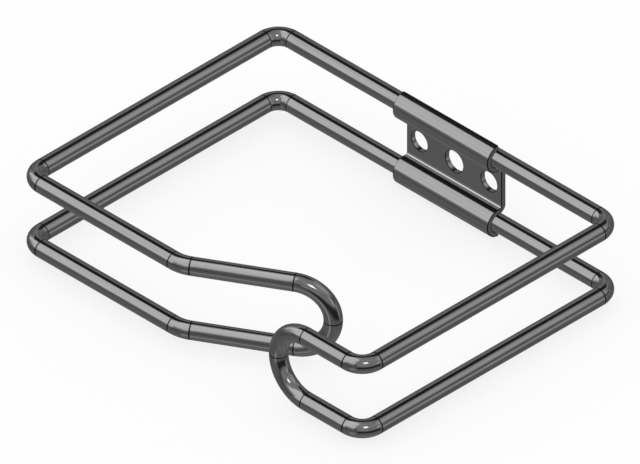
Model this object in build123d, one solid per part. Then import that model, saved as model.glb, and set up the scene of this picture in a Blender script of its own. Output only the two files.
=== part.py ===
from build123d import *
import math
import os

# Cable routing ring: an endless double wire ring, held on a rail by a grooved sheet-steel plate.
# Millimetres and degrees. +X runs along the rail, +Y points at the rail, +Z is up.
# The origin is the middle of the plate's back face, on the axis of its centre hole.
# A place along X, Y or Z is that of the wire's centreline unless it says otherwise.

# The wire ring
WIRE_DIAMETER = 5.0
LOOP_SPACING = 20.0          # upper loop to lower loop
RING_WIDTH = 120.0           # left side to right side
RING_DEPTH = 90.0            # back run to front run
RING_OFFSET = -2.0           # the ring's middle along X, from the plate's middle
CORNER_RADIUS = 5.0

# The ring's front: a long run that turns inward as an arm, and a short run that faces it
MOUTH = 12.5                 # clear width of the way in, between the arm and the short run's hook
ARM_LENGTH = 30.0            # the arm's bend to the start of its hook
ARM_ANGLE = 30.0             # turned towards the back
ARM_BEND_RADIUS = 10.0
SHORT_RUN = 20.0             # right side to the start of its hook

# The plate
SHEET = 1.5
PLATE_WIDTH = 34.0
GROOVE_CLEARANCE = 0.05      # all round the wire
FOOT_RADIUS = 0.5            # inside radius where a groove turns into the flat
CENTRE_HOLE = 6.4
SIDE_HOLE = 5.8
HOLE_PITCH = 12.5

# Worked out from the sizes above
wire_radius = WIRE_DIAMETER / 2
groove_radius = wire_radius + GROOVE_CLEARANCE
loop_z = LOOP_SPACING / 2
hook_radius = LOOP_SPACING / 2
back_y = -groove_radius
front_y = back_y - RING_DEPTH
left_x = RING_OFFSET - RING_WIDTH / 2
right_x = RING_OFFSET + RING_WIDTH / 2
short_hook_x = right_x - SHORT_RUN - hook_radius
arm_bend_x = short_hook_x - (MOUTH + WIRE_DIAMETER) / math.sin(math.radians(ARM_ANGLE))
along_arm = Vector(1, 0, 0).rotate(Axis.Z, ARM_ANGLE)
along_short_run = Vector(-1, 0, 0)


def loop_path(z):
    """One loop's centreline at height z, from the arm's end round the back to the short run's end."""
    arm_bend = Vector(arm_bend_x, front_y, z)
    points = [
        arm_bend + along_arm * ARM_LENGTH,
        arm_bend,
        Vector(left_x, front_y, z),
        Vector(left_x, back_y, z),
        Vector(right_x, back_y, z),
        Vector(right_x, front_y, z),
        Vector(right_x, front_y, z) + along_short_run * SHORT_RUN,
    ]
    return FilletPolyline(*points, radius=[ARM_BEND_RADIUS] + 4 * [CORNER_RADIUS])


def hook_path(upper_end, lower_end, direction):
    """Half circle in an upright plane, from the upper loop's end to the lower loop's."""
    apex = (upper_end + lower_end) / 2 + direction * hook_radius
    return ThreePointArc(upper_end, apex, lower_end)


def make_wire_ring():
    """The endless wire: an upper and a lower loop, joined by an upright hook at each end."""
    upper = loop_path(loop_z)
    lower = loop_path(-loop_z)
    arm_hook = hook_path(upper @ 0, lower @ 0, along_arm)
    short_hook = hook_path(upper @ 1, lower @ 1, along_short_run)
    path = Wire(upper.edges() + arm_hook.edges() + lower.edges() + short_hook.edges())
    section = Plane(origin=path @ 0, z_dir=path % 0) * Circle(wire_radius)
    ring = sweep(section, path=path)
    expected = path.length * math.pi * wire_radius**2
    print("wire length", round(path.length, 2), "volume", round(ring.volume, 1), "of", round(expected, 1))
    return ring


def upper_profile():
    """Upper half of the plate's section, seen along X: its own X is the ring's Y, and its Y is Z.

    The sheet wraps the wire from above it, round the front, to below it. It then turns back through
    a foot, whose arcs are tangent to the groove and to the flat.
    """
    outer_radius = groove_radius + SHEET
    wire = Vector(back_y, loop_z)
    foot_x = -SHEET - FOOT_RADIUS
    foot_drop = math.sqrt((outer_radius + FOOT_RADIUS)**2 - (foot_x - back_y)**2)
    foot = Vector(foot_x, loop_z - foot_drop)
    foot_turn = math.degrees(math.atan2(foot_drop, back_y - foot_x))
    wrap = 90 + foot_turn
    outline = [
        CenterArc(wire, outer_radius, 90, wrap),
        CenterArc(foot, FOOT_RADIUS, foot_turn, -foot_turn),
        Polyline((-SHEET, foot.Y), (-SHEET, 0), (0, 0), (0, foot.Y)),
        CenterArc(foot, FOOT_RADIUS + SHEET, 0, foot_turn),
        CenterArc(wire, groove_radius, 90 + wrap, -wrap),
        Line(wire + Vector(0, groove_radius), wire + Vector(0, outer_radius)),
    ]
    return make_face(Curve() + outline)


def plate_hole(x, diameter):
    """Round hole right through the flat, along Y."""
    return Pos(x, 0, 0) * Rot(90, 0, 0) * Cylinder(diameter / 2, 4 * SHEET)


def make_mounting_plate():
    """Pressed sheet with a groove for each loop's back run and three screw holes between them."""
    upper = upper_profile()
    profile = upper + mirror(upper, about=Plane.XZ)
    plate = extrude(Plane.YZ * profile, amount=PLATE_WIDTH / 2, both=True)
    plate -= plate_hole(0, CENTRE_HOLE)
    for side in (-1, 1):
        plate -= plate_hole(side * HOLE_PITCH, SIDE_HOLE)
    return plate


def slide_range():
    """How far the ring can slide each way along X before a corner bend meets the plate."""
    straight_left = left_x + CORNER_RADIUS
    straight_right = right_x - CORNER_RADIUS
    return PLATE_WIDTH / 2 - straight_right, -PLATE_WIDTH / 2 - straight_left


os.makedirs("parts", exist_ok=True)
export_step(make_wire_ring(), "parts/wire_ring.step")
export_step(make_mounting_plate(), "parts/mounting_plate.step")
print("slide range", [round(end, 2) for end in slide_range()])
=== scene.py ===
# %% [markdown]
# # A cable routing ring
# A double ring of 5 mm zinc-plated wire guides bundles of cable past a rack. At the back, a pressed
# sheet-steel plate with two grooves lies over the ring's wires, and screws hold it on a rail. At the
# front, a cable is pushed in through the mouth between a turned-in arm and a short run. This lesson
# draws both pieces around a measured model, gives them their metal, and lights them like a product
# picture.

# %% Load the measured model
import math
import bmesh
import bpy
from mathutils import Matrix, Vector


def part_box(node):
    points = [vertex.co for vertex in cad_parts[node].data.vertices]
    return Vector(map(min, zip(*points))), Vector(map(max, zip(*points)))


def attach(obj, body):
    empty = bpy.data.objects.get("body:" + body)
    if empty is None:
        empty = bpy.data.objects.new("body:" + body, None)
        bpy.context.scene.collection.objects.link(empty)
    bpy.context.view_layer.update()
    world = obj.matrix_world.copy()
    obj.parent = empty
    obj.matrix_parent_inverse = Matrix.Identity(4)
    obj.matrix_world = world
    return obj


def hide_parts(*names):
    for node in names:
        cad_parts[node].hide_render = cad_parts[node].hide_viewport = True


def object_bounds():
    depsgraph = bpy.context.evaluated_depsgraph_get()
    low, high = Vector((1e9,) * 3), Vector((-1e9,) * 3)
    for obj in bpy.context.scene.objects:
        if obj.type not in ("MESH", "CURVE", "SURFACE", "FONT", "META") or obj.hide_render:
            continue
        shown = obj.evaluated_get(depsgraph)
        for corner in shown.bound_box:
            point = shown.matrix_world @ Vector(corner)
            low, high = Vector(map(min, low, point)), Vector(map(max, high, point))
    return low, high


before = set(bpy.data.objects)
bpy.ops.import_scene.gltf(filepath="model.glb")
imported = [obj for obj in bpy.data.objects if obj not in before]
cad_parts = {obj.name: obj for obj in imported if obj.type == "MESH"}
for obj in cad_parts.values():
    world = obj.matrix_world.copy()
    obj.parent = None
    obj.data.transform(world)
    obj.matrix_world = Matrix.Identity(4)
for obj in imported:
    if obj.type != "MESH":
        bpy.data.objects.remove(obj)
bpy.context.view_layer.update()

# %% [markdown]
# Blender measures in metres, and the places of things are read from the measured model wherever it
# has them. Only what a box can't tell, such as a wire's thickness or an angle, is written here as a
# size of its own.

# %% Sizes of the ring
MM = 0.001
WIRE_DIAMETER = 5 * MM
CORNER_RADIUS = 5 * MM
ARM_BEND_RADIUS = 10 * MM
ARM_LENGTH = 30 * MM
ARM_ANGLE = math.radians(30)
SHORT_RUN = 20 * MM
MOUTH = 12.5 * MM

ring_low, ring_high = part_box("wire_ring")
wire_radius = WIRE_DIAMETER / 2
left = ring_low.x + wire_radius
right = ring_high.x - wire_radius
front = ring_low.y + wire_radius
back = ring_high.y - wire_radius
loop_height = ring_high.z - wire_radius
print("ring centreline, mm:", [round(v / MM, 2) for v in (right - left, back - front, 2 * loop_height)])

# %% [markdown]
# The plate's box gives its width and its place. Its sheet, its tight bends and its three screw holes
# are sizes of their own. The grooves are a hair wider than the wire, so the ring can slide in them.

# %% Sizes of the plate
SHEET = 1.5 * MM
GROOVE_CLEARANCE = 0.05 * MM
FOOT_RADIUS = 0.5 * MM
CENTRE_HOLE = 6.4 * MM
SIDE_HOLE = 5.8 * MM
HOLE_PITCH = 12.5 * MM

plate_low, plate_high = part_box("mounting_plate")
groove_radius = wire_radius + GROOVE_CLEARANCE
plate_size = plate_high - plate_low
print("plate, mm:", [round(v / MM, 2) for v in plate_size])

# %% [markdown]
# ## A shorthand for node trees
# Materials, the sky and Geometry Nodes are all trees of nodes. Wiring them by hand hides the idea
# behind the wires, so `Value` wraps one output socket and lets ordinary arithmetic add the Math
# nodes, and `Tree.node` adds any other node: its type, its settings first, and then what goes into
# its sockets.

# %% Value and Tree
class Value:
    """An output socket that can be used in sums."""

    def __init__(self, tree, socket):
        self.tree = tree
        self.socket = socket

    def math(self, operation, *others):
        """A Math node with this value first."""
        inputs = dict(enumerate((self, *others)))
        return self.tree.node("ShaderNodeMath", {"operation": operation}, inputs)

    def __add__(self, other):
        return self.math("ADD", other)

    def __sub__(self, other):
        return self.math("SUBTRACT", other)

    def __rsub__(self, other):
        return self.math("MULTIPLY_ADD", -1.0, other)

    def __mul__(self, other):
        return self.math("MULTIPLY", other)

    def __truediv__(self, other):
        return self.math("DIVIDE", other)

    def __abs__(self):
        return self.math("ABSOLUTE")

    __radd__ = __add__
    __rmul__ = __mul__


class Tree:
    """A node tree with short calls."""

    def __init__(self, node_tree):
        self.nodes = node_tree.nodes
        self.links = node_tree.links

    def put(self, socket, item):
        """Links a Value to a socket, or sets the socket to a plain value."""
        if isinstance(item, Value):
            self.links.new(item.socket, socket)
        else:
            socket.default_value = item

    def node(self, kind, settings=None, inputs=None, output=0):
        """A new node's output as a Value, or the node itself when it has none."""
        made = self.nodes.new(kind)
        for name, setting in (settings or {}).items():
            setattr(made, name, setting)
        for name, item in (inputs or {}).items():
            self.put(made.inputs[name], item)
        return Value(self, made.outputs[output]) if made.outputs else made

    def fade(self, value, start, end):
        """0 before start, 1 after end, and smooth between them; start may be the larger."""
        settings = {"interpolation_type": "SMOOTHSTEP"}
        inputs = {"Value": value, "From Min": start, "From Max": end}
        return self.node("ShaderNodeMapRange", settings, inputs)

    def mix(self, share, first, second):
        """A colour between two colours."""
        return self.node("ShaderNodeMix", {"data_type": "RGBA"}, {0: share, 6: first, 7: second}, 2)

    def parts(self, vector):
        """The three numbers of a vector."""
        split = self.node("ShaderNodeSeparateXYZ", {}, {0: vector}).socket.node
        return [Value(self, socket) for socket in split.outputs]

    def vector(self, x, y, z):
        """A vector of three numbers."""
        return self.node("ShaderNodeCombineXYZ", {}, {0: x, 1: y, 2: z})


print("helpers ready")

# %% [markdown]
# ## The bent wire
# The ring starts as a straight drawn wire. A bending machine turns it round a former at each corner,
# and its two ends are butt-welded, so it has no end. The upper and the lower loop are the same
# shape, and a hook at each end of the way in joins them. That is a rule, not a free shape: fourteen
# corners, each with its own bend radius. It could be drawn point by point, but Geometry Nodes can
# round the corners and sweep the wire, so a different ring needs only different corners.

# %% The ring's corners
along_arm = Vector((math.cos(ARM_ANGLE), math.sin(ARM_ANGLE), 0))
short_hook = Vector((right - SHORT_RUN - loop_height, front, loop_height))
arm_bend = short_hook - Vector(((MOUTH + WIRE_DIAMETER) / math.sin(ARM_ANGLE), 0, 0))
arm_hook = arm_bend + along_arm * (ARM_LENGTH + loop_height)

upper_corners = [
    (arm_hook, loop_height),
    (arm_bend, ARM_BEND_RADIUS),
    (Vector((left, front, loop_height)), CORNER_RADIUS),
    (Vector((left, back, loop_height)), CORNER_RADIUS),
    (Vector((right, back, loop_height)), CORNER_RADIUS),
    (Vector((right, front, loop_height)), CORNER_RADIUS),
    (short_hook, loop_height),
]
upside_down = Vector((1, 1, -1))
lower_corners = [(place * upside_down, radius) for place, radius in reversed(upper_corners)]
corners = upper_corners + lower_corners
print(len(corners), "corners")

# %% [markdown]
# Where a straight run turns into a bend, the former's edge leaves a fine dark line round the wire.
# Those places follow from each corner: the line is at the bend's radius times the tangent of half
# its turn, measured from the corner. They go into the same mesh as loose points, and Geometry Nodes
# measures how far each bit of wire is from the nearest.

# %% Where each bend starts and ends
def bend_ends(before, corner, after, radius):
    """The two points where an arc of that radius meets its straight runs."""
    arriving = (before - corner).normalized()
    leaving = (after - corner).normalized()
    turn = math.pi - arriving.angle(leaving)
    reach = radius * math.tan(turn / 2)
    return [corner + arriving * reach, corner + leaving * reach]


bend_lines = []
for i, (place, radius) in enumerate(corners):
    before = corners[i - 1][0]
    after = corners[(i + 1) % len(corners)][0]
    bend_lines += bend_ends(before, place, after, radius)
print(len(bend_lines), "bend lines")

# %% [markdown]
# A mesh can carry all of this into Geometry Nodes: the corners, the edges that join them in a ring,
# the loose points, and two numbers for each point. One is the radius to bend there, and the other
# tells a bend line from a corner.

# %% The corners as a mesh
def mesh_piece(name, points, edges, faces):
    """A new object of that mesh, at the origin."""
    mesh = bpy.data.meshes.new(name)
    mesh.from_pydata(points, edges, faces)
    piece = bpy.data.objects.new(name, mesh)
    bpy.context.scene.collection.objects.link(piece)
    return piece


def point_numbers(mesh, name, numbers):
    """Stores one number for each point."""
    mesh.attributes.new(name, "FLOAT", "POINT").data.foreach_set("value", numbers)


corner_count = len(corners)
line_count = len(bend_lines)
places = [place for place, radius in corners] + bend_lines
loop_edges = [(i, (i + 1) % corner_count) for i in range(corner_count)]
ring_plan = mesh_piece("ring_plan", places, loop_edges, [])
point_numbers(ring_plan.data, "bend_radius", [radius for place, radius in corners] + [0.0] * line_count)
point_numbers(ring_plan.data, "is_bend_line", [0.0] * corner_count + [1.0] * line_count)
print("ring plan:", len(places), "points and", len(loop_edges), "edges")

# %% [markdown]
# ## The node group that bends and sweeps the wire
# The group is one tool with named sizes: corners go in, and a finished wire comes out. Two short
# helpers read and store numbers at points, because several steps need them.

# %% Build the node group
def size_socket(group, name, kind, smallest):
    """A named input for a size, with the smallest value that makes sense."""
    socket = group.interface.new_socket(name, in_out="INPUT", socket_type=kind)
    socket.min_value = smallest


wire_group = bpy.data.node_groups.new("bend and sweep a wire", "GeometryNodeTree")
wire_group.interface.new_socket("Corners", in_out="INPUT", socket_type="NodeSocketGeometry")
size_socket(wire_group, "Wire radius", "NodeSocketFloat", 0)
size_socket(wire_group, "Points round the wire", "NodeSocketInt", 3)
size_socket(wire_group, "Steps in a bend", "NodeSocketInt", 1)
size_socket(wire_group, "Step on a straight", "NodeSocketFloat", 0)
wire_group.interface.new_socket("Finish", in_out="INPUT", socket_type="NodeSocketMaterial")
wire_group.interface.new_socket("Wire", in_out="OUTPUT", socket_type="NodeSocketGeometry")

wires = Tree(wire_group)
group_in = wires.node("NodeGroupInput").socket.node
sizes = {socket.name: Value(wires, socket) for socket in group_in.outputs if socket.name}


def stored(name):
    """A number stored at each point."""
    return wires.node("GeometryNodeInputNamedAttribute", {"data_type": "FLOAT"}, {"Name": name})


def store(geometry, name, kind, value):
    """The geometry with one more number or vector stored at each point."""
    settings = {"data_type": kind, "domain": "POINT"}
    inputs = {"Geometry": geometry, "Name": name, "Value": value}
    return wires.node("GeometryNodeStoreNamedAttribute", settings, inputs)


print("inputs:", sorted(sizes))

# %% [markdown]
# The edges become a closed curve, and Fillet Curve rounds each corner by its own radius. A curve
# object's bevel could sweep the wire too, but it can't give each corner its own bend. A hook is two
# quarter turns that meet, which leaves two points in one place, so one goes. Straight runs are
# divided too, because the finish is worked out from numbers stored at each ring of points.

# %% Round the corners
SAME_PLACE = 0.001 * MM

sharp_loop = wires.node("GeometryNodeMeshToCurve", {}, {"Mesh": sizes["Corners"]})
bend_inputs = {
    "Curve": sharp_loop,
    "Count": sizes["Steps in a bend"],
    "Radius": stored("bend_radius"),
}
bent_loop = wires.node("GeometryNodeFilletCurve", {"mode": "POLY"}, bend_inputs)

position = wires.node("GeometryNodeInputPosition")
next_point = wires.node("GeometryNodeOffsetPointInCurve", {}, {"Offset": 1}, "Point Index")
next_inputs = {"Index": next_point, "Value": position}
next_place = wires.node("GeometryNodeFieldAtIndex", {"data_type": "FLOAT_VECTOR"}, next_inputs)
gap_inputs = {0: position, 1: next_place}
gap = wires.node("ShaderNodeVectorMath", {"operation": "DISTANCE"}, gap_inputs, "Value")

too_close = {"A": gap, "B": SAME_PLACE}
doubled = wires.node("FunctionNodeCompare", {"operation": "LESS_THAN"}, too_close)
doubled_points = {"Geometry": bent_loop, "Selection": doubled}
bent_loop = wires.node("GeometryNodeDeleteGeometry", {"domain": "POINT"}, doubled_points)
cuts = (gap / sizes["Step on a straight"]).math("FLOOR")
bent_loop = wires.node("GeometryNodeSubdivideCurve", {}, {"Curve": bent_loop, "Cuts": cuts})
print(len(wires.nodes), "nodes round the corners")

# %% [markdown]
# The finish needs to know where it is on the wire: a place across the section, a place along the
# loop, and how far the nearest bend line is. A loop has no first point, so its place along is kept
# as a point on a large circle. Noise read there in four dimensions has no seam.

# %% Store what the finish reads
line_points = {"Mesh": sizes["Corners"], "Selection": stored("is_bend_line")}
bend_points = wires.node("GeometryNodeMeshToPoints", {}, line_points)
nearest = {"Target": bend_points, "Source Position": position}
from_bend = wires.node("GeometryNodeProximity", {"target_element": "POINTS"}, nearest, "Distance")

turn = wires.node("GeometryNodeSplineParameter") * math.tau
wire_length = wires.node("GeometryNodeSplineLength")
round_x = turn.math("COSINE") * wire_length / math.tau
round_y = turn.math("SINE") * wire_length / math.tau
bent_loop = store(bent_loop, "from_bend", "FLOAT", from_bend)
bent_loop = store(bent_loop, "along_loop", "FLOAT_VECTOR", wires.vector(round_x, round_y, 0.0))
print(len(wires.nodes), "nodes with the stored numbers")

# %% [markdown]
# Curve to Mesh carries a round section along the loop. The section stores its own points first, so
# that they come along as places across the wire. Realize Instances and Set Material end the tree,
# which makes the result a plain mesh with its metal on it.

# %% Sweep the section and finish the group
section_inputs = {"Resolution": sizes["Points round the wire"], "Radius": sizes["Wire radius"]}
section = wires.node("GeometryNodeCurvePrimitiveCircle", {"mode": "RADIUS"}, section_inputs)
section = store(section, "across_section", "FLOAT_VECTOR", position)
swept = wires.node("GeometryNodeCurveToMesh", {}, {"Curve": bent_loop, "Profile Curve": section})
swept = wires.node("GeometryNodeSetShadeSmooth", {}, {"Geometry": swept})
swept = wires.node("GeometryNodeRealizeInstances", {}, {"Geometry": swept})
finish_inputs = {"Geometry": swept, "Material": sizes["Finish"]}
swept = wires.node("GeometryNodeSetMaterial", {}, finish_inputs)
wires.node("NodeGroupOutput", {}, {"Wire": swept})
print(len(wires.nodes), "nodes in", wire_group.name)

# %% [markdown]
# ## The wire's finish
# Drawing pulls wire through a die, which leaves fine lines along it. Zinc plating then covers them
# with a bright grey skin, a little cloudy, since the plating bath doesn't reach everywhere alike.
# Metallic at one makes a metal, and the reflections need only small changes in roughness and bump
# to look drawn and plated instead of chromed.

# %% A metal to start from
def new_metal(name):
    """A material with a metal shader: the material, its tree and the shader node."""
    material = bpy.data.materials.new(name)
    material.use_nodes = True
    tree = Tree(material.node_tree)
    shader = material.node_tree.nodes["Principled BSDF"]
    shader.inputs["Metallic"].default_value = 1.0
    return material, tree, shader


def noise(tree, place, scale, detail, along=None):
    """Smooth random values about 0.5, in three dimensions, or in four with the fourth place given."""
    inputs = {"Vector": place, "Scale": scale, "Detail": detail}
    if along is None:
        return tree.node("ShaderNodeTexNoise", {"noise_dimensions": "3D"}, inputs)
    inputs["W"] = along
    return tree.node("ShaderNodeTexNoise", {"noise_dimensions": "4D"}, inputs)


def stored_number(tree, name):
    """A number that the piece's mesh stores, as a material reads it."""
    return tree.node("ShaderNodeAttribute", {"attribute_name": name}, {}, "Fac")


def stored_vector(tree, name):
    """A vector that the piece's mesh stores, as a material reads it."""
    return tree.node("ShaderNodeAttribute", {"attribute_name": name}, {}, "Vector")


def bump(tree, height, distance):
    """A normal that follows the height; a height of 1 stands that distance, in metres, above 0."""
    inputs = {"Height": height, "Distance": distance, "Strength": 1.0}
    return tree.node("ShaderNodeBump", {}, inputs)


def grey(level):
    """A plain grey: 0 is black and 1 is white."""
    return (level, level, level, 1.0)


print("metal helpers ready")

# %% [markdown]
# What marks a drawn wire runs along it, so its patterns are stretched: fine drawing lines, and wider
# ones from wear in the die. Clouding, grain and nicks are about as long as they are wide. The bend
# lines come from the stored distance, so they are sharp at any size of mesh.

# %% The drawn wire
wire_metal, drawn, wire_shader = new_metal("zinc_plated_wire")
bend_gap = stored_number(drawn, "from_bend")
across_x, across_y, _ = drawn.parts(stored_vector(drawn, "across_section"))
along_x, along_y, _ = drawn.parts(stored_vector(drawn, "along_loop"))


def wire_noise(across, along, detail):
    """Noise with so many grains to a metre across the wire, and so many along it."""
    place = drawn.vector(across_x * across, across_y * across, along_x * along)
    return noise(drawn, place, 1.0, detail, along_y * along)


draw_lines = wire_noise(across=2600, along=28, detail=4.0)
die_lines = wire_noise(across=1150, along=9, detail=1.0)
cloud = wire_noise(across=180, along=120, detail=3.0)
grain = wire_noise(across=3800, along=3800, detail=2.0)
nick = drawn.fade(wire_noise(across=900, along=420, detail=2.0), start=0.74, end=0.80)
bend_line = drawn.fade(bend_gap, start=0.24 * MM, end=0.13 * MM)
print("wire patterns:", len(drawn.nodes), "nodes")

# %% [markdown]
# Each pattern is laid over the last, from pale zinc to the near-black of a bend line. The same
# patterns change the roughness and the relief a little, so that a line that looks darker also
# breaks the reflection that runs across it. The relief is only two thousandths of a millimetre:
# any more, and the wire would look cast.

# %% Colour, roughness and bump of the wire
WIRE_RELIEF = 0.002 * MM
CLOUDED_ZINC, CLEAR_ZINC = grey(0.57), grey(0.65)
DRAWN_GREY, DIE_GREY = grey(0.47), grey(0.44)
FRESH_METAL, TOOL_BLACK = grey(0.72), grey(0.02)

wire_colour = drawn.mix(cloud, CLOUDED_ZINC, CLEAR_ZINC)
wire_colour = drawn.mix(drawn.fade(draw_lines, 0.52, 0.72) * 0.40, wire_colour, DRAWN_GREY)
wire_colour = drawn.mix(drawn.fade(die_lines, 0.60, 0.66) * 0.35, wire_colour, DIE_GREY)
wire_colour = drawn.mix(nick * 0.6, wire_colour, FRESH_METAL)
wire_colour = drawn.mix(bend_line * 0.95, wire_colour, TOOL_BLACK)
drawn.put(wire_shader.inputs["Base Color"], wire_colour)

wire_roughness = 0.07 + 0.04 * cloud + 0.04 * draw_lines + 0.18 * bend_line + 0.06 * nick
drawn.put(wire_shader.inputs["Roughness"], wire_roughness)
wire_relief = draw_lines * 0.8 + die_lines * 1.2 + grain * 0.12 - nick * 0.5 - bend_line * 2.0
drawn.put(wire_shader.inputs["Normal"], bump(drawn, wire_relief, WIRE_RELIEF))
print("wire finish:", len(drawn.nodes), "nodes")

# %% [markdown]
# The group is a modifier on the plan of corners. Its sizes are set by each socket's identifier, and
# the evaluated result becomes a plain mesh, so that the piece needs no modifier from here on. A
# closed wire's volume is its length times its section, which is a quick test that it has no fold
# or gap.

# %% Bend the wire
POINTS_ROUND_WIRE = 64
STEPS_IN_BEND = 16
STEP_ON_STRAIGHT = 2 * MM

bender = ring_plan.modifiers.new("bender", "NODES")
bender.node_group = wire_group
wire_sizes = {
    "Wire radius": wire_radius,
    "Points round the wire": POINTS_ROUND_WIRE,
    "Steps in a bend": STEPS_IN_BEND,
    "Step on a straight": STEP_ON_STRAIGHT,
    "Finish": wire_metal,
}
for item in wire_group.interface.items_tree:
    if item.name in wire_sizes:
        bender[item.identifier] = wire_sizes[item.name]


def face_outwards(piece):
    """Turns every face of a closed solid outwards. Gives its volume, in mm3, and its open edges."""
    mesh = bmesh.new()
    mesh.from_mesh(piece.data)
    if mesh.calc_volume(signed=True) < 0:
        bmesh.ops.reverse_faces(mesh, faces=mesh.faces)
    mesh.to_mesh(piece.data)
    volume = mesh.calc_volume(signed=True) / MM**3
    open_edges = sum(not edge.is_manifold for edge in mesh.edges)
    mesh.free()
    return round(volume, 1), open_edges


def plain_copy(piece, name):
    """A plain mesh object of the piece as its modifiers make it. The piece goes."""
    evaluated = piece.evaluated_get(bpy.context.evaluated_depsgraph_get())
    mesh = bpy.data.meshes.new_from_object(evaluated)
    mesh.name = name
    bpy.data.objects.remove(piece)
    copy = bpy.data.objects.new(name, mesh)
    bpy.context.scene.collection.objects.link(copy)
    return copy


wire_ring = plain_copy(ring_plan, "bent_wire_ring")
print("wire ring: mm3 and open edges", face_outwards(wire_ring), "faces", len(wire_ring.data.polygons))
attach(wire_ring, "ring")
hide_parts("wire_ring")

# %% [markdown]
# ## The pressed plate
# A press bends one strip of sheet over two round formers, so the plate's section has the same
# thickness all along. A flat surface with Solidify could do it, but Solidify can pinch the sheet in
# a tight bend. So it is drawn as pairs of points, one on the sheet's front and one on its back:
# round the upper groove, through a tight foot, down the flat, and the same again for the lower
# groove. Pairs keep the thickness true through every bend.

# %% Pairs of points along the sheet
GROOVE_STEPS = 48
FOOT_STEPS = 10

wire_centre = Vector((0, -groove_radius, loop_height))
foot_y = -SHEET - FOOT_RADIUS
foot_reach = groove_radius + SHEET + FOOT_RADIUS
foot_drop = math.sqrt(foot_reach**2 - (foot_y - wire_centre.y)**2)
foot_centre = Vector((0, foot_y, loop_height - foot_drop))
foot_turn = math.atan2(foot_drop, wire_centre.y - foot_y)
groove_turn = math.pi / 2 + foot_turn


def on_arc(centre, radius, angle):
    """A point on an upright arc: angle 0 is towards the rail, and a quarter turn is up."""
    return centre + Vector((0, math.cos(angle), math.sin(angle))) * radius


upper_pairs = []
for i in range(GROOVE_STEPS + 1):
    angle = math.pi / 2 + groove_turn * i / GROOVE_STEPS
    outside = on_arc(wire_centre, groove_radius + SHEET, angle)
    upper_pairs.append((outside, on_arc(wire_centre, groove_radius, angle)))
for i in range(FOOT_STEPS):
    angle = foot_turn * (FOOT_STEPS - 1 - i) / FOOT_STEPS
    inside = on_arc(foot_centre, FOOT_RADIUS, angle)
    upper_pairs.append((inside, on_arc(foot_centre, FOOT_RADIUS + SHEET, angle)))

lower_pairs = [(near * upside_down, far * upside_down) for near, far in reversed(upper_pairs)]
sheet_pairs = upper_pairs + lower_pairs
print(len(sheet_pairs), "pairs, foot turn", round(math.degrees(foot_turn), 1), "degrees")

# %% [markdown]
# Each pair becomes six points of the solid: front, middle and back, on both side edges of the plate.
# The middle ones don't change the shape. They are there for the finish, which blends between points
# and so needs one halfway through the sheet. Six faces join each pair to the next, and one more
# closes each end.

# %% The plate's solid
POINTS_ROUND_SHEET = 6

half_width = Vector((plate_size.x / 2, 0, 0))
middle_line = [(near + far) / 2 for near, far in sheet_pairs]
plate_points = []
for (near, far), middle in zip(sheet_pairs, middle_line):
    plate_points += [place + half_width for place in (near, middle, far)]
    plate_points += [place - half_width for place in (far, middle, near)]

round_sheet = range(POINTS_ROUND_SHEET)
last = POINTS_ROUND_SHEET * (len(sheet_pairs) - 1)
plate_faces = [tuple(round_sheet), tuple(last + k for k in reversed(round_sheet))]
for here in range(0, last, POINTS_ROUND_SHEET):
    beyond = here + POINTS_ROUND_SHEET
    for k in round_sheet:
        after = (k + 1) % POINTS_ROUND_SHEET
        plate_faces.append((here + k, beyond + k, beyond + after, here + after))
plate_blank = mesh_piece("plate_blank", plate_points, [], plate_faces)
print("plate before punching: mm3 and open edges", face_outwards(plate_blank))

# %% [markdown]
# The press punches three plain holes for screws between the grooves. They could be drawn into the
# flat face by face, but a Boolean cuts each with a punch, as the press does. A fine bevel then takes
# the sharpness off every edge, because no real edge is perfectly sharp.

# %% Punch the holes and break the edges
HOLE_POINTS = 96
EDGE_BREAK = 0.10 * MM
EDGE_BREAK_STEPS = 2
SHARPEST_BEND = math.radians(40)
holes = [(-HOLE_PITCH, SIDE_HOLE / 2), (0, CENTRE_HOLE / 2), (HOLE_PITCH, SIDE_HOLE / 2)]


def punch(name, x, radius):
    """A round rod through the plate, closed at both ends."""
    near, far = [], []
    for i in range(HOLE_POINTS):
        angle = math.tau * i / HOLE_POINTS
        rim = Vector((x + radius * math.cos(angle), 0, radius * math.sin(angle)))
        near.append(rim - Vector((0, 2 * SHEET, 0)))
        far.append(rim + Vector((0, SHEET, 0)))
    walls = [(i, (i + 1) % HOLE_POINTS) for i in range(HOLE_POINTS)]
    faces = [(a, b, HOLE_POINTS + b, HOLE_POINTS + a) for a, b in walls]
    faces.append(tuple(reversed(range(HOLE_POINTS))))
    faces.append(tuple(range(HOLE_POINTS, 2 * HOLE_POINTS)))
    return mesh_piece(name, near + far, [], faces)


punches = [punch(f"punch_{i}", x, radius) for i, (x, radius) in enumerate(holes)]
for rod in punches:
    face_outwards(rod)
    press = plate_blank.modifiers.new(rod.name, "BOOLEAN")
    press.operation = "DIFFERENCE"
    press.solver = "EXACT"
    press.object = rod

for face in plate_blank.data.polygons:
    face.use_smooth = True
edge_break = plate_blank.modifiers.new("edge break", "BEVEL")
edge_break.width = EDGE_BREAK
edge_break.segments = EDGE_BREAK_STEPS
edge_break.limit_method = "ANGLE"
edge_break.angle_limit = SHARPEST_BEND
edge_break.harden_normals = True

# %% [markdown]
# The bevel can put its own faces in a material slot of their own. That is how the finish finds them:
# the second slot is turned into a number stored on each face, and then every face goes back to the
# first slot, because the plate is one metal.

# %% Press the plate and mark its broken edges
BROKEN_SLOT = 1

for slot_name in ("faces", "broken_edges"):
    plate_blank.data.materials.append(bpy.data.materials.new(slot_name))
edge_break.material = BROKEN_SLOT

plate = plain_copy(plate_blank, "pressed_plate")
for rod in punches:
    bpy.data.objects.remove(rod)
print("plate: mm3 and open edges", face_outwards(plate), "faces", len(plate.data.polygons))

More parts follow.
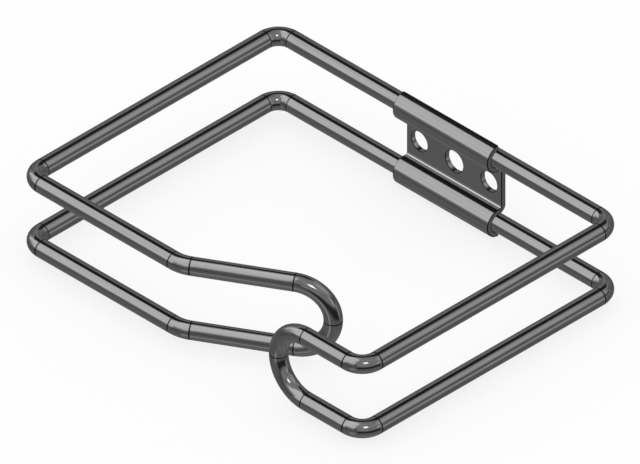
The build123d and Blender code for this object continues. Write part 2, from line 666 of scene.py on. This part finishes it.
broken_edge = [float(face.material_index == BROKEN_SLOT) for face in plate.data.polygons]
plate.data.attributes.new("broken_edge", "FLOAT", "FACE").data.foreach_set("value", broken_edge)
for face in plate.data.polygons:
    face.material_index = 0
print(round(sum(broken_edge)), "faces on broken edges")

# %% [markdown]
# A side edge of the plate is a winding strip as wide as the sheet is thick, and tarnish lies along
# both borders of it. The strip curves, so no sum on X, Y and Z finds those borders. Each point of
# the mesh stores instead how far it is from the line down the middle of the strip.

# %% How far each point is from the middle of the sheet
def off_middle(point):
    """Distance from the line midway between the sheet's two faces, as the section shows it."""
    flat_point = Vector((0, point.y, point.z))
    gaps = []
    for start, end in zip(middle_line, middle_line[1:]):
        along_line = end - start
        share = (flat_point - start).dot(along_line) / along_line.length_squared
        gaps.append((start + along_line * min(max(share, 0), 1) - flat_point).length)
    return min(gaps)


middle_gaps = [off_middle(vertex.co) for vertex in plate.data.vertices]
point_numbers(plate.data, "off_middle", middle_gaps)
print("furthest from the middle, mm:", round(max(middle_gaps) / MM, 3))

# %% [markdown]
# ## The plate's finish
# The same zinc covers the plate, but over rolled sheet, whose grain runs along it. Where a tool cut
# the sheet, the cut face is torn and a little rougher. The finish finds the cut edges with sums
# instead of painting them: how far a point is from each hole's wall, from the two side edges, and
# from the sheet's two ends at the top and bottom of the plate.

# %% How far a point is from a cut edge
END_REACH = 0.5 * MM
FAR_FROM_END = 10 * MM

plate_metal, rolled, plate_shader = new_metal("zinc_plated_sheet")
plate_place = rolled.node("ShaderNodeTexCoord", {}, {}, "Object")
plate_x, plate_y, plate_z = rolled.parts(plate_place)

side_gap = plate_size.x / 2 - abs(plate_x)
edge_gap = side_gap
for hole_x, hole_radius in holes:
    beside = plate_x - hole_x
    from_axis = (beside * beside + plate_z * plate_z).math("SQRT")
    edge_gap = edge_gap.math("MINIMUM", abs(from_axis - hole_radius))
end_height = loop_height + groove_radius
near_end = rolled.fade(abs(plate_z), end_height - END_REACH, end_height)
end_gap = abs(plate_y + groove_radius) + (1 - near_end) * FAR_FROM_END
edge_gap = edge_gap.math("MINIMUM", end_gap)
print("distance from the cut edges:", len(rolled.nodes), "nodes")

# %% [markdown]
# Handling and the plating bath leave a fine dark line of tarnish along every edge: on its broken
# corner, in a ragged rim beside it, and along both borders of a side edge or a hole's wall. Inside
# the two feet, a bright line is painted into the colour: a painted highlight for each tight bend.

# %% Where the plate is torn and tarnished, and where a highlight is painted
RIM_WIDTH, RIM_FADE, RIM_RAGGED = 0.16 * MM, 0.10 * MM, 0.10 * MM
SIDE_LINE, HOLE_LINE, LINE_FADE = 0.22 * MM, 0.12 * MM, 0.08 * MM
# Width and fade of the painted highlight: a white line in the colour inside each foot, for a
# reflection.
PAINTED_HIGHLIGHT_WIDTH, PAINTED_HIGHLIGHT_FADE = 0.02 * MM, 0.12 * MM
half_sheet = SHEET / 2


def on_cut_face(cut_gap):
    """1 where the distance from a cut is as good as nothing."""
    return rolled.fade(cut_gap, 0.05 * MM, 0.01 * MM)


def border_line(from_middle, width):
    """1 within that width of the sheet's two faces, on a face that cuts through the sheet."""
    inner = half_sheet - width
    return rolled.fade(from_middle, inner - LINE_FADE, inner)


cut_face = on_cut_face(edge_gap)
side_face = on_cut_face(side_gap)
hole_wall = cut_face * (1 - side_face) * (1 - near_end)
blotch = noise(rolled, plate_place, 1500.0, 3.0)
torn = cut_face * rolled.fade(blotch, 0.40, 0.60)

ragged_gap = edge_gap + blotch * RIM_RAGGED
tarnished_rim = rolled.fade(ragged_gap, RIM_WIDTH + RIM_FADE, RIM_WIDTH) * (1 - cut_face)
side_line = border_line(stored_number(rolled, "off_middle"), SIDE_LINE) * side_face
hole_line = border_line(abs(plate_y + half_sheet), HOLE_LINE) * hole_wall
broken_corner = stored_number(rolled, "broken_edge")
tarnish = broken_corner.math("MAXIMUM", tarnished_rim).math("MAXIMUM", side_line + hole_line)

# Painted highlight: a thin band inside each foot is lifted to white in the colour, standing for the
# bend's reflection.
foot_aside = plate_y - foot_centre.y
foot_above = abs(plate_z) - foot_centre.z
from_foot = (foot_aside * foot_aside + foot_above * foot_above).math("SQRT")
painted_highlight_end = FOOT_RADIUS + PAINTED_HIGHLIGHT_WIDTH
painted_highlight = rolled.fade(from_foot, painted_highlight_end + PAINTED_HIGHLIGHT_FADE, painted_highlight_end) * (1 - side_face)
print("plate patterns:", len(rolled.nodes), "nodes")

# %% [markdown]
# The open sheet needs little: rolling grain that is long in X, a soft patina, and the fine spangle
# of zinc crystals in the relief. The marks from the cell above go over them, the painted highlight
# before the tarnish, so that the tarnish lies on top.

# %% Colour, roughness and bump of the plate
SHEET_RELIEF = 0.0015 * MM
DULL_SHEET, CLEAR_SHEET = grey(0.57), grey(0.63)
# The last white is the colour of the painted highlight inside each foot.
TORN_GREY, PAINTED_HIGHLIGHT_WHITE, TARNISH_BLACK = grey(0.46), grey(1.0), grey(0.015)

long_in_x = rolled.vector(plate_x * 30, plate_y * 900, plate_z * 900)
rolling = noise(rolled, long_in_x, 1.0, 4.0)
patina = noise(rolled, plate_place, 90.0, 3.0)
spangle = noise(rolled, plate_place, 2600.0, 2.0)

sheet_colour = rolled.mix(patina, DULL_SHEET, CLEAR_SHEET)
sheet_colour = rolled.mix(torn * 0.35, sheet_colour, TORN_GREY)
# Painted highlight: white put into the colour inside each foot, where the tight bend would reflect
# light.
sheet_colour = rolled.mix(painted_highlight, sheet_colour, PAINTED_HIGHLIGHT_WHITE)
sheet_colour = rolled.mix(tarnish * 0.97, sheet_colour, TARNISH_BLACK)
rolled.put(plate_shader.inputs["Base Color"], sheet_colour)

sheet_roughness = 0.08 + 0.04 * patina + 0.03 * rolling + 0.12 * torn + 0.25 * tarnish
rolled.put(plate_shader.inputs["Roughness"], sheet_roughness)
sheet_relief = rolling * 0.3 + spangle * 0.3 + torn
rolled.put(plate_shader.inputs["Normal"], bump(rolled, sheet_relief, SHEET_RELIEF))

plate.data.materials.clear()
plate.data.materials.append(plate_metal)
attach(plate, "plate")
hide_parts("mounting_plate")
print("plate finish:", len(rolled.nodes), "nodes")

# %% [markdown]
# ## Studio
# Metal shows its surroundings, so the light is drawn as the panels that stand round the table in a
# product studio: each is a bright window on a dark sky, given by the direction of its middle. Area
# lamps could do it, but a window in the sky has no back and casts no shadow of its own. The two
# pieces are hidden from mirror-like bounces, because a wire mirrored in the plate or in the next
# wire is a thin dark streak that hides the shape of both. So the metal shows the panels alone.

# %% The sky that reflections see
for piece in (wire_ring, plate):
    piece.visible_glossy = False

world = bpy.data.worlds.new("studio")
bpy.context.scene.world = world
world.use_nodes = True
sky = Tree(world.node_tree)
direction = sky.node("ShaderNodeTexCoord", {}, {}, "Generated")
sky_x, sky_y, sky_z = sky.parts(direction)
azimuth = sky_y.math("ARCTAN2", sky_x) * math.degrees(1)
elevation = sky_z.math("ARCSINE") * math.degrees(1)


def panel(middle, half_width, low, high, soft):
    """1 inside a window of the sky, fading to 0 over soft degrees outside it."""
    turned = (azimuth - middle).math("WRAP", 180.0, -180.0)
    aside = sky.fade(abs(turned), half_width + soft, half_width)
    over = sky.fade(elevation, low - soft, low)
    under = sky.fade(elevation, high + soft, high)
    return aside * over * under


print("sky directions:", len(sky.nodes), "nodes")

# %% [markdown]
# A bare studio is already a little grey: darker below the table's edge than above it, with a soft
# patchiness from everything that stands about in it, and a faint glow from the floor far below.

# %% The bare room
ROOM_BELOW, ROOM_ABOVE, FLOOR_GLOW = 0.13, 0.25, 0.04

sky_light = ROOM_BELOW + (ROOM_ABOVE - ROOM_BELOW) * sky.fade(elevation, -4.0, 8.0)
sky_light = sky_light + FLOOR_GLOW * sky.fade(elevation, -40.0, -65.0)
clutter = sky.fade(noise(sky, direction, 6.0, 4.0), 0.38, 0.62)
sky_light = sky_light * (0.78 + 0.40 * clutter)
print("bare room:", len(sky.nodes), "nodes")

# %% [markdown]
# White cards and softboxes add light to the room, and black flags take light away. Dark gaps between
# bright panels are what makes wire look like metal. All angles are in degrees: the direction of the
# panel's middle round the table, half its width, its lower and upper edge, and how soft its edges
# are. The lamp goes in last, since no flag may dim it.

# %% Set the cards, the flags and the lamp
big_softbox = panel(-128.0, 51.0, 10.0, 80.0, 4.0)
softbox_flap = panel(-158.0, 11.0, 0.0, 16.0, 7.0)
top_card = panel(176.0, 16.0, 67.0, 82.0, 4.0)
right_card = panel(48.0, 16.0, 32.0, 50.0, 9.0)
low_right_card = panel(20.0, 7.0, 5.0, 17.0, 4.0)
upright_strip = panel(36.0, 5.0, -18.0, -1.0, 4.0)
low_front_card = panel(-84.0, 9.0, -42.0, -32.0, 6.0)
sky_light = sky_light + 0.43 * big_softbox * (1 - 0.6 * softbox_flap) + 0.30 * top_card
sky_light = sky_light + 0.15 * right_card + 0.20 * low_right_card
sky_light = sky_light + 0.20 * upright_strip + 0.17 * low_front_card

back_flag = panel(136.0, 42.0, 40.0, 59.0, 6.0)
horizon_flag = panel(120.0, 45.0, -2.0, 28.0, 8.0)
front_flag = panel(-88.0, 23.0, -2.0, 25.0, 4.0)
side_flag = panel(50.0, 15.0, 6.0, 18.0, 4.0)
table_rim = panel(-128.0, 42.0, -17.0, -9.0, 5.0)
low_flag = panel(-18.0, 42.0, -23.0, -8.0, 8.0)
sky_light = sky_light * (1 - 0.95 * back_flag) * (1 - 0.40 * horizon_flag)
sky_light = sky_light * (1 - 0.62 * front_flag) * (1 - 0.65 * side_flag)
sky_light = sky_light * (1 - 0.82 * low_flag) * (1 - 0.28 * table_rim)

key_lamp = panel(-28.0, 8.0, 41.0, 52.0, 4.0)
sky_light = sky_light + 1.8 * key_lamp
print("sky with its panels:", len(sky.nodes), "nodes")

# %% [markdown]
# The last node decides what each ray sees: a mirror-like bounce gets the panels, and the camera and
# every soft bounce get plain white. The Standard view transform shows the greys as they are set.

# %% Finish the sky
WHITE_SKY = 1.0

is_reflection = sky.node("ShaderNodeLightPath", {}, {}, "Is Glossy Ray")
strength = is_reflection * sky_light + (1 - is_reflection) * WHITE_SKY
background = world.node_tree.nodes["Background"]
sky.put(background.inputs["Strength"], strength)
background.inputs["Color"].default_value = grey(1.0)
bpy.context.scene.view_settings.view_transform = "Standard"
print("sky:", len(sky.nodes), "nodes")

# %% [markdown]
# The table is a plain pale board at the height of the lowest point. It glows a little, like a light
# table, so the shadow under the ring stays faint, and it is hidden from reflections, which keeps
# the metal's underside dark.

# %% The table
TABLE_SIZE = 12.0
TABLE_GLOW = 0.80
TABLE_TINT = 0.19
SPECKLE_LIFT = 1.04

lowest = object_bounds()[0].z
reach = TABLE_SIZE / 2
table_corners = [(-reach, -reach), (reach, -reach), (reach, reach), (-reach, reach)]
table = mesh_piece("table", [(x, y, lowest) for x, y in table_corners], [], [(0, 1, 2, 3)])
table.visible_glossy = False

table_paint = bpy.data.materials.new("table_paint")
table_paint.use_nodes = True
paint = Tree(table_paint.node_tree)
paint_shader = table_paint.node_tree.nodes["Principled BSDF"]
speckle = noise(paint, paint.node("ShaderNodeTexCoord", {}, {}, "Object"), 400.0, 2.0)
board_colour = paint.mix(speckle, grey(TABLE_TINT), grey(TABLE_TINT * SPECKLE_LIFT))
paint.put(paint_shader.inputs["Base Color"], board_colour)
paint_shader.inputs["Roughness"].default_value = 1.0
paint_shader.inputs["Specular IOR Level"].default_value = 0.0
paint_shader.inputs["Emission Color"].default_value = grey(1.0)
paint_shader.inputs["Emission Strength"].default_value = TABLE_GLOW
table.data.materials.append(table_paint)
print("table at", round(lowest / MM, 2), "mm")

# %% [markdown]
# A drawing-like view suits a part with straight runs: the camera is orthographic, so runs that are
# parallel stay parallel, and it looks down on the ring from one corner, with all three axes equally
# foreshortened. It aims at the middle of the ring, with a small shift that frames it.

# %% The camera
VIEW_WIDTH = 0.1626
CAMERA_DISTANCE = 0.5
FRAMING = Vector((-0.11, -0.03, 0.08)) * MM

camera = bpy.data.objects.new("camera", bpy.data.cameras.new("camera"))
bpy.context.scene.collection.objects.link(camera)
camera.data.type = "ORTHO"
camera.data.ortho_scale = VIEW_WIDTH
towards_camera = Vector((1, -1, 1)).normalized()
aim = (ring_low + ring_high) / 2 + FRAMING
camera.location = aim + towards_camera * CAMERA_DISTANCE
camera.rotation_euler = (-towards_camera).to_track_quat("-Z", "Y").to_euler()
bpy.context.scene.camera = camera
print("camera at", [round(v, 3) for v in camera.location])
